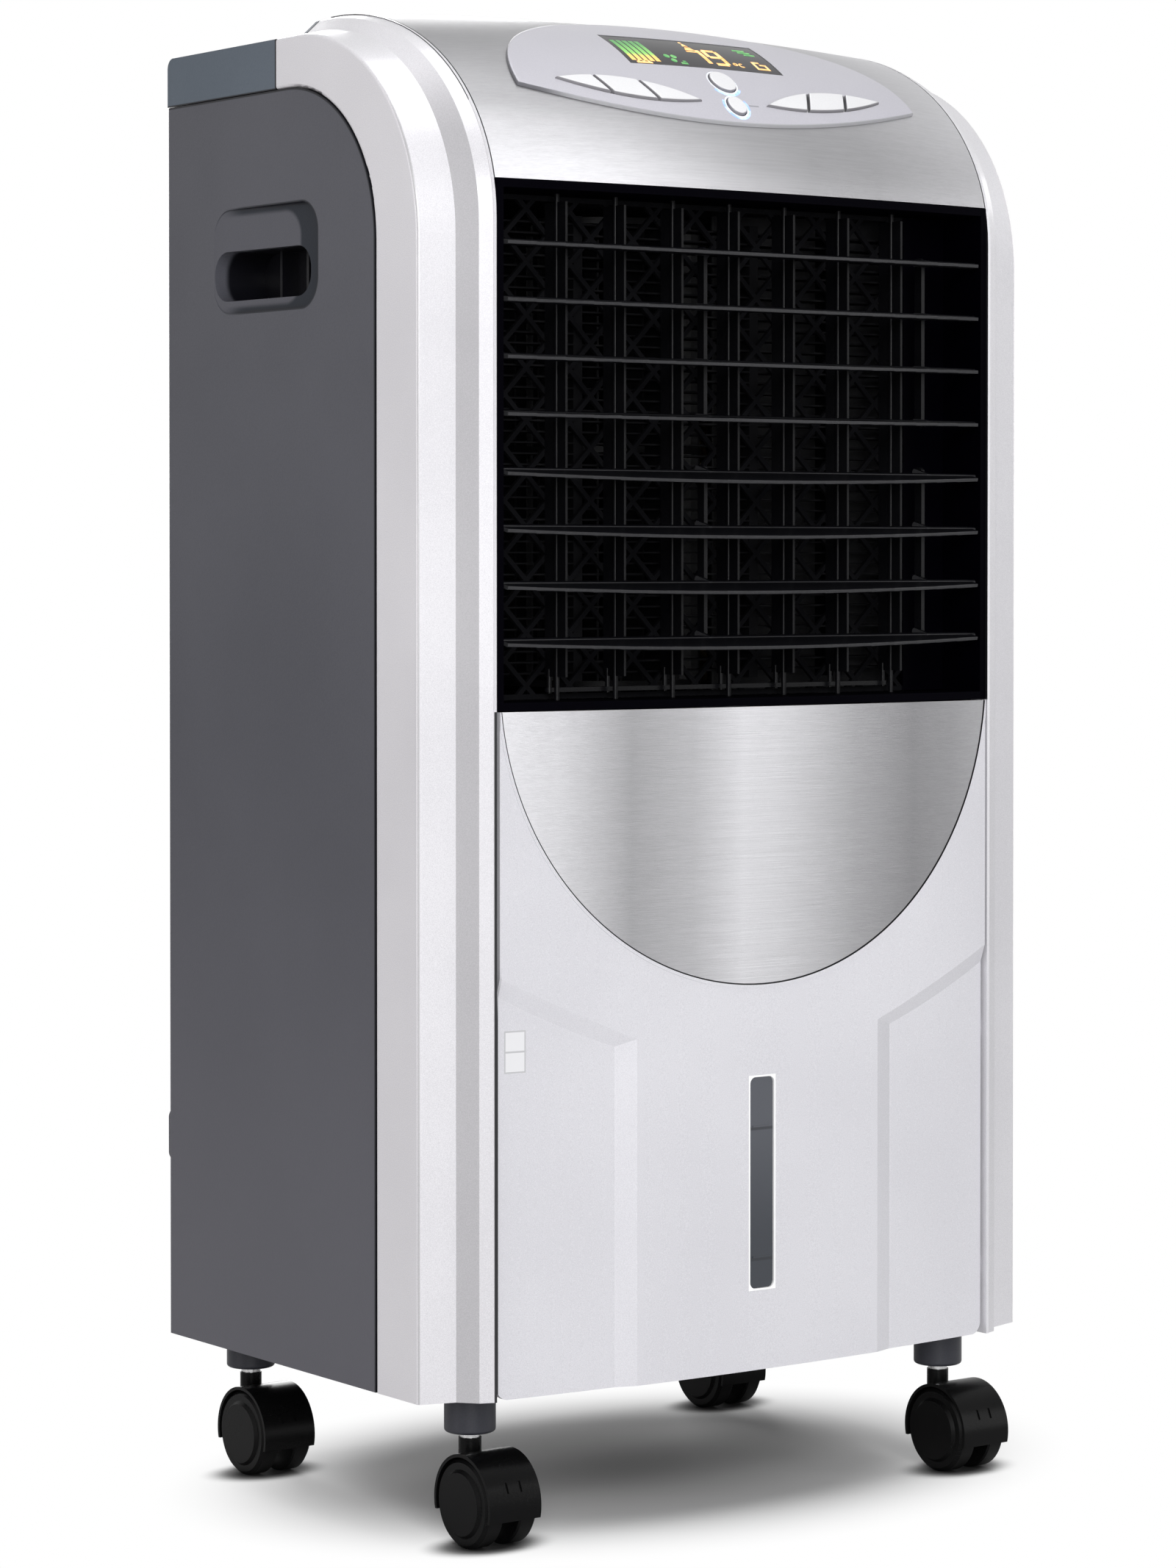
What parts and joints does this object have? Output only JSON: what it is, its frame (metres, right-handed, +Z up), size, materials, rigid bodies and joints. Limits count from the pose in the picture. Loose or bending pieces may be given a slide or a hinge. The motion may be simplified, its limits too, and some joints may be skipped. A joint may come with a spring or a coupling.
{
  "type": "evaporative air cooler",
  "caption": "Free-standing room air cooler and heater on twin-wheel casters, with tilting louvres, swing vanes, key panel, drawn-out water tank and rear pad.",
  "frame": {"origin": "middle of the footprint, on the floor", "axes": "+Z up; the louvres and water window face -Y; +X to the right seen from behind the controls facing +Y"},
  "size_m": [0.35, 0.2492, 0.6989],
  "materials": {
    "pearl_silver": "pearl silver, satin gloss",
    "charcoal": "charcoal, fine texture",
    "slate": "slate grey, satin",
    "brushed_silver": "brushed silver foil",
    "bezel_silver": "silver grey, satin",
    "key_white": "pale grey, satin",
    "smoked_lens": "smoked, high gloss",
    "grille_black": "black, satin",
    "circuit": "green lacquer",
    "caster_black": "black, semi gloss",
    "steel": "bright zinc",
    "motor_case": "grey zinc and lacquer",
    "heater_alloy": "bare fins",
    "pad_paper": "brown honeycomb paper",
    "tank_clear": "smoky grey",
    "inner_black": "black, moulded",
    "fan_plastic": "black, glass filled"
  },
  "bodies": {
    "cabinet": {"side_trim_left": "pearl_silver", "side_panel_left": "charcoal", "side_trim_right": "pearl_silver", "side_panel_right": "charcoal", "cord_gland": "inner_black", "case_screws": "steel", "top_cover": "brushed_silver", "control_panel": "bezel_silver", "display_window": "smoked_lens", "control_board": "circuit", "rear_cap": "slate", "front_panel": "pearl_silver", "front_inlay": "brushed_silver", "level_window": "smoked_lens", "outlet_frame": "grille_black", "swing_motor": "motor_case", "base_tray": "slate", "blower_housing": "inner_black", "fan_motor": "motor_case", "ptc_heater": "heater_alloy", "caster_stems": "steel"},
    "left_key_inner": {"left_key_inner": "key_white"},
    "left_key_middle": {"left_key_middle": "key_white"},
    "left_key_outer": {"left_key_outer": "key_white"},
    "right_key_inner": {"right_key_inner": "key_white"},
    "right_key_middle": {"right_key_middle": "key_white"},
    "right_key_outer": {"right_key_outer": "key_white"},
    "power_key": {"power_key": "key_white"},
    "select_key": {"select_key": "key_white"},
    "upper_louvre_1": {"upper_louvre_1": "grille_black"},
    "upper_louvre_2": {"upper_louvre_2": "grille_black"},
    "upper_louvre_3": {"upper_louvre_3": "grille_black"},
    "upper_louvre_4": {"upper_louvre_4": "grille_black"},
    "upper_link_bars": {"upper_link_bars": "inner_black"},
    "lower_louvre_1": {"lower_louvre_1": "grille_black"},
    "lower_louvre_2": {"lower_louvre_2": "grille_black"},
    "lower_louvre_3": {"lower_louvre_3": "grille_black"},
    "lower_louvre_4": {"lower_louvre_4": "grille_black"},
    "lower_link_bars": {"lower_link_bars": "inner_black"},
    "swing_vane_1": {"swing_vane_1": "inner_black"},
    "swing_vane_2": {"swing_vane_2": "inner_black"},
    "swing_vane_3": {"swing_vane_3": "inner_black"},
    "swing_vane_4": {"swing_vane_4": "inner_black"},
    "swing_vane_5": {"swing_vane_5": "inner_black"},
    "swing_vane_6": {"swing_vane_6": "inner_black"},
    "swing_vane_7": {"swing_vane_7": "inner_black"},
    "vane_link_bar": {"vane_link_bar": "inner_black"},
    "blower_wheel": {"blower_wheel": "fan_plastic"},
    "rear_grille": {"rear_grille": "charcoal", "cooling_pad": "pad_paper"},
    "water_tank": {"water_tank": "tank_clear", "water_pump": "inner_black"},
    "caster_front_left": {"caster_hood_front_left": "caster_black"},
    "wheels_front_left": {"caster_wheels_front_left": "caster_black"},
    "caster_front_right": {"caster_hood_front_right": "caster_black"},
    "wheels_front_right": {"caster_wheels_front_right": "caster_black"},
    "caster_rear_left": {"caster_hood_rear_left": "caster_black"},
    "wheels_rear_left": {"caster_wheels_rear_left": "caster_black"},
    "caster_rear_right": {"caster_hood_rear_right": "caster_black"},
    "wheels_rear_right": {"caster_wheels_rear_right": "caster_black"}
  },
  "joints": [
    {"name": "left_key_inner_press", "type": "slide", "parent": "cabinet", "child": "left_key_inner", "axis": [0, 0.549, -0.8358], "range_m": [0, 0.0012], "stiffness_N_per_m": 250, "springref_m": -0.001},
    {"name": "left_key_middle_press", "type": "slide", "parent": "cabinet", "child": "left_key_middle", "axis": [0, 0.549, -0.8358], "range_m": [0, 0.0012], "stiffness_N_per_m": 250, "springref_m": -0.001},
    {"name": "left_key_outer_press", "type": "slide", "parent": "cabinet", "child": "left_key_outer", "axis": [0, 0.549, -0.8358], "range_m": [0, 0.0012], "stiffness_N_per_m": 250, "springref_m": -0.001},
    {"name": "right_key_inner_press", "type": "slide", "parent": "cabinet", "child": "right_key_inner", "axis": [0, 0.549, -0.8358], "range_m": [0, 0.0012], "stiffness_N_per_m": 250, "springref_m": -0.001},
    {"name": "right_key_middle_press", "type": "slide", "parent": "cabinet", "child": "right_key_middle", "axis": [0, 0.549, -0.8358], "range_m": [0, 0.0012], "stiffness_N_per_m": 250, "springref_m": -0.001},
    {"name": "right_key_outer_press", "type": "slide", "parent": "cabinet", "child": "right_key_outer", "axis": [0, 0.549, -0.8358], "range_m": [0, 0.0012], "stiffness_N_per_m": 250, "springref_m": -0.001},
    {"name": "power_key_press", "type": "slide", "parent": "cabinet", "child": "power_key", "axis": [0, 0.549, -0.8358], "range_m": [0, 0.0012], "stiffness_N_per_m": 250, "springref_m": -0.001},
    {"name": "select_key_press", "type": "slide", "parent": "cabinet", "child": "select_key", "axis": [0, 0.549, -0.8358], "range_m": [0, 0.0012], "stiffness_N_per_m": 250, "springref_m": -0.001},
    {"name": "upper_louvre_1_tilt", "type": "hinge", "parent": "cabinet", "child": "upper_louvre_1", "pos_m": [0, -0.109, 0.5824], "axis": [1, 0, 0], "range_deg": [-35, 30]},
    {"name": "upper_louvre_2_tilt", "type": "hinge", "parent": "cabinet", "child": "upper_louvre_2", "pos_m": [0, -0.109, 0.557], "axis": [1, 0, 0], "range_deg": [-35, 30]},
    {"name": "upper_louvre_3_tilt", "type": "hinge", "parent": "cabinet", "child": "upper_louvre_3", "pos_m": [0, -0.109, 0.5316], "axis": [1, 0, 0], "range_deg": [-35, 30]},
    {"name": "upper_louvre_4_tilt", "type": "hinge", "parent": "cabinet", "child": "upper_louvre_4", "pos_m": [0, -0.109, 0.5062], "axis": [1, 0, 0], "range_deg": [-35, 30]},
    {"name": "upper_link_bars_pin", "type": "hinge", "parent": "upper_louvre_1", "child": "upper_link_bars", "pos_m": [0, -0.10103, 0.58303], "axis": [1, 0, 0], "range_deg": [-30, 35]},
    {"name": "lower_louvre_1_tilt", "type": "hinge", "parent": "cabinet", "child": "lower_louvre_1", "pos_m": [0, -0.109, 0.4808], "axis": [1, 0, 0], "range_deg": [-45, 20]},
    {"name": "lower_louvre_2_tilt", "type": "hinge", "parent": "cabinet", "child": "lower_louvre_2", "pos_m": [0, -0.109, 0.4554], "axis": [1, 0, 0], "range_deg": [-45, 20]},
    {"name": "lower_louvre_3_tilt", "type": "hinge", "parent": "cabinet", "child": "lower_louvre_3", "pos_m": [0, -0.109, 0.43], "axis": [1, 0, 0], "range_deg": [-45, 20]},
    {"name": "lower_louvre_4_tilt", "type": "hinge", "parent": "cabinet", "child": "lower_louvre_4", "pos_m": [0, -0.109, 0.4046], "axis": [1, 0, 0], "range_deg": [-45, 20]},
    {"name": "lower_link_bars_pin", "type": "hinge", "parent": "lower_louvre_1", "child": "lower_link_bars", "pos_m": [0, -0.10127, 0.48287], "axis": [1, 0, 0], "range_deg": [-20, 45]},
    {"name": "swing_vane_1_turn", "type": "hinge", "parent": "cabinet", "child": "swing_vane_1", "pos_m": [-0.0981, -0.0965, 0.3776], "axis": [0, 0, 1], "range_deg": [-30, 30]},
    {"name": "swing_vane_2_turn", "type": "hinge", "parent": "cabinet", "child": "swing_vane_2", "pos_m": [-0.0654, -0.0965, 0.3776], "axis": [0, 0, 1], "range_deg": [-30, 30]},
    {"name": "swing_vane_3_turn", "type": "hinge", "parent": "cabinet", "child": "swing_vane_3", "pos_m": [-0.0327, -0.0965, 0.3776], "axis": [0, 0, 1], "range_deg": [-30, 30]},
    {"name": "swing_vane_4_turn", "type": "hinge", "parent": "cabinet", "child": "swing_vane_4", "pos_m": [0, -0.0965, 0.3776], "axis": [0, 0, 1], "range_deg": [-30, 30]},
    {"name": "swing_vane_5_turn", "type": "hinge", "parent": "cabinet", "child": "swing_vane_5", "pos_m": [0.0327, -0.0965, 0.3776], "axis": [0, 0, 1], "range_deg": [-30, 30]},
    {"name": "swing_vane_6_turn", "type": "hinge", "parent": "cabinet", "child": "swing_vane_6", "pos_m": [0.0654, -0.0965, 0.3776], "axis": [0, 0, 1], "range_deg": [-30, 30]},
    {"name": "swing_vane_7_turn", "type": "hinge", "parent": "cabinet", "child": "swing_vane_7", "pos_m": [0.0981, -0.0965, 0.3776], "axis": [0, 0, 1], "range_deg": [-30, 30]},
    {"name": "vane_link_bar_pin", "type": "hinge", "parent": "swing_vane_4", "child": "vane_link_bar", "pos_m": [0, -0.0905, 0.3811], "axis": [0, 0, 1], "range_deg": [-30, 30]},
    {"name": "blower_wheel_spin", "type": "hinge", "parent": "cabinet", "child": "blower_wheel", "pos_m": [0, 0.0088, 0.3776], "axis": [0, 0, 1], "continuous": true},
    {"name": "rear_grille_pull", "type": "slide", "parent": "cabinet", "child": "rear_grille", "axis": [0, 1, 0], "range_m": [0, 0.06]},
    {"name": "water_tank_pull", "type": "slide", "parent": "cabinet", "child": "water_tank", "axis": [0, 1, 0], "range_m": [0, 0.15]},
    {"name": "caster_front_left_swivel", "type": "hinge", "parent": "cabinet", "child": "caster_front_left", "pos_m": [-0.138, -0.085, 0.0465], "axis": [0, 0, 1], "continuous": true},
    {"name": "wheels_front_left_roll", "type": "hinge", "parent": "caster_front_left", "child": "wheels_front_left", "pos_m": [-0.138, -0.099, 0.02], "axis": [1, 0, 0], "continuous": true},
    {"name": "caster_front_right_swivel", "type": "hinge", "parent": "cabinet", "child": "caster_front_right", "pos_m": [0.138, -0.085, 0.0465], "axis": [0, 0, 1], "continuous": true},
    {"name": "wheels_front_right_roll", "type": "hinge", "parent": "caster_front_right", "child": "wheels_front_right", "pos_m": [0.138, -0.099, 0.02], "axis": [1, 0, 0], "continuous": true},
    {"name": "caster_rear_left_swivel", "type": "hinge", "parent": "cabinet", "child": "caster_rear_left", "pos_m": [-0.138, 0.1044, 0.0465], "axis": [0, 0, 1], "continuous": true},
    {"name": "wheels_rear_left_roll", "type": "hinge", "parent": "caster_rear_left", "child": "wheels_rear_left", "pos_m": [-0.138, 0.0904, 0.02], "axis": [1, 0, 0], "continuous": true},
    {"name": "caster_rear_right_swivel", "type": "hinge", "parent": "cabinet", "child": "caster_rear_right", "pos_m": [0.138, 0.1044, 0.0465], "axis": [0, 0, 1], "continuous": true},
    {"name": "wheels_rear_right_roll", "type": "hinge", "parent": "caster_rear_right", "child": "wheels_rear_right", "pos_m": [0.138, 0.0904, 0.02], "axis": [1, 0, 0], "continuous": true}
  ],
  "couplings": [
    {"joint": "upper_louvre_2_tilt", "follows": "upper_louvre_1_tilt", "ratio": 1},
    {"joint": "upper_louvre_3_tilt", "follows": "upper_louvre_1_tilt", "ratio": 1},
    {"joint": "upper_louvre_4_tilt", "follows": "upper_louvre_1_tilt", "ratio": 1},
    {"joint": "upper_link_bars_pin", "follows": "upper_louvre_1_tilt", "ratio": -1},
    {"joint": "lower_louvre_2_tilt", "follows": "lower_louvre_1_tilt", "ratio": 1},
    {"joint": "lower_louvre_3_tilt", "follows": "lower_louvre_1_tilt", "ratio": 1},
    {"joint": "lower_louvre_4_tilt", "follows": "lower_louvre_1_tilt", "ratio": 1},
    {"joint": "lower_link_bars_pin", "follows": "lower_louvre_1_tilt", "ratio": -1},
    {"joint": "swing_vane_1_turn", "follows": "swing_vane_4_turn", "ratio": 1},
    {"joint": "swing_vane_2_turn", "follows": "swing_vane_4_turn", "ratio": 1},
    {"joint": "swing_vane_3_turn", "follows": "swing_vane_4_turn", "ratio": 1},
    {"joint": "swing_vane_5_turn", "follows": "swing_vane_4_turn", "ratio": 1},
    {"joint": "swing_vane_6_turn", "follows": "swing_vane_4_turn", "ratio": 1},
    {"joint": "swing_vane_7_turn", "follows": "swing_vane_4_turn", "ratio": 1},
    {"joint": "vane_link_bar_pin", "follows": "swing_vane_4_turn", "ratio": -1}
  ]
}
